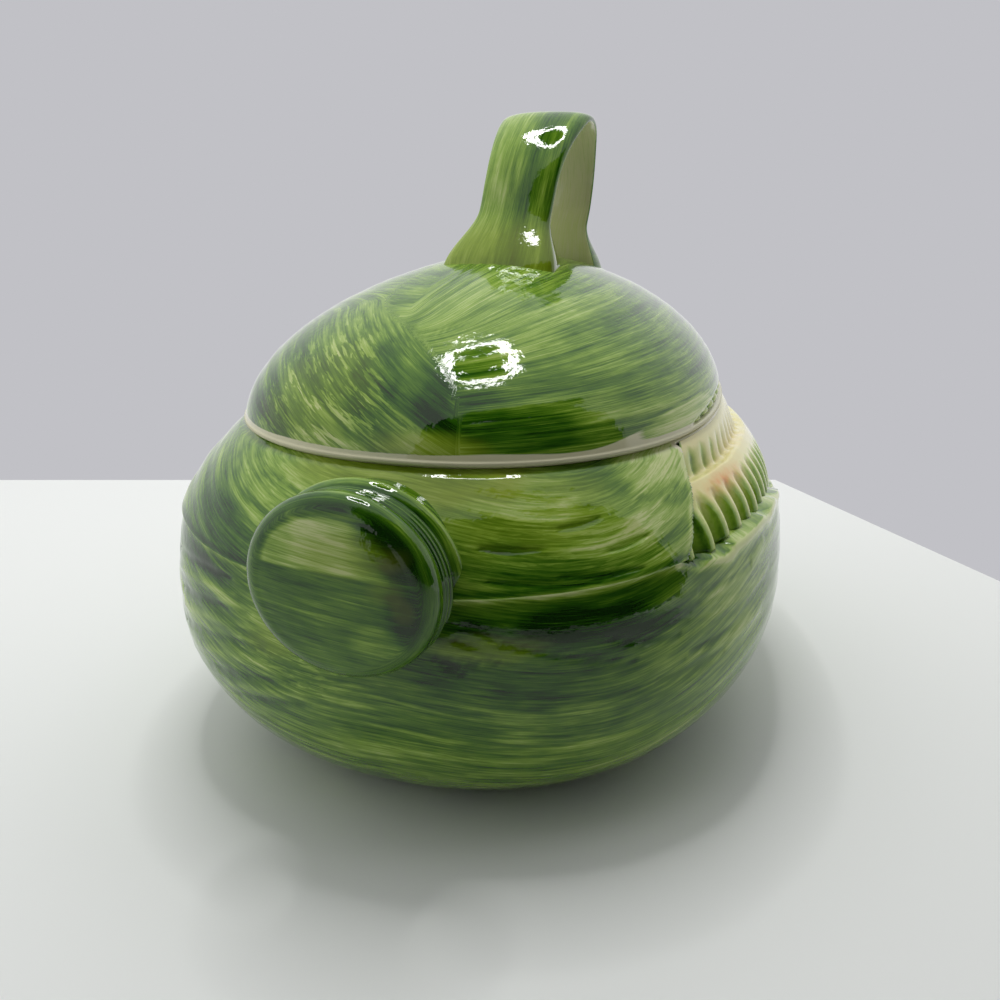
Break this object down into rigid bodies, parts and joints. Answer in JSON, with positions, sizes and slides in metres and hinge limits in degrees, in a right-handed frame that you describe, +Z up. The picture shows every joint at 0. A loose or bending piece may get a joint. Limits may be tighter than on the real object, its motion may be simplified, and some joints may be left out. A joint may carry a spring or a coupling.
{
  "type": "corn tureen",
  "caption": "Oval lidded tureen shaped as an ear of corn in its husk, with kernel openings on both sides, a cut stalk at one end and a strap loop on the lid.",
  "frame": {"origin": "on the table, under the middle of the overall length and width", "axes": "+X along the ear from the cut stalk to the tip, +Y to the left of it, +Z up"},
  "size_m": [0.2704, 0.2022, 0.2012],
  "materials": {
    "husk_glaze": "brushed green glaze over pale clay, glossy",
    "stalk_glaze": "dark green glaze with paler patches, glossy",
    "kernel_glaze": "cream glaze shaded with green and a little orange, glossy",
    "handle_glaze": "streaked green glaze outside, cream inside, glossy"
  },
  "bodies": {
    "bowl": {"bowl": "husk_glaze", "stalk_stub": "stalk_glaze", "bowl_kernels_right": "kernel_glaze", "bowl_kernels_left": "kernel_glaze"},
    "lid": {"lid": "husk_glaze", "lid_kernels_right": "kernel_glaze", "lid_kernels_left": "kernel_glaze", "loop_handle": "handle_glaze"}
  },
  "joints": [
    {"name": "lid_lift", "type": "slide", "parent": "bowl", "child": "lid", "axis": [0, 0, 1], "range_m": [0, 0.12]}
  ]
}
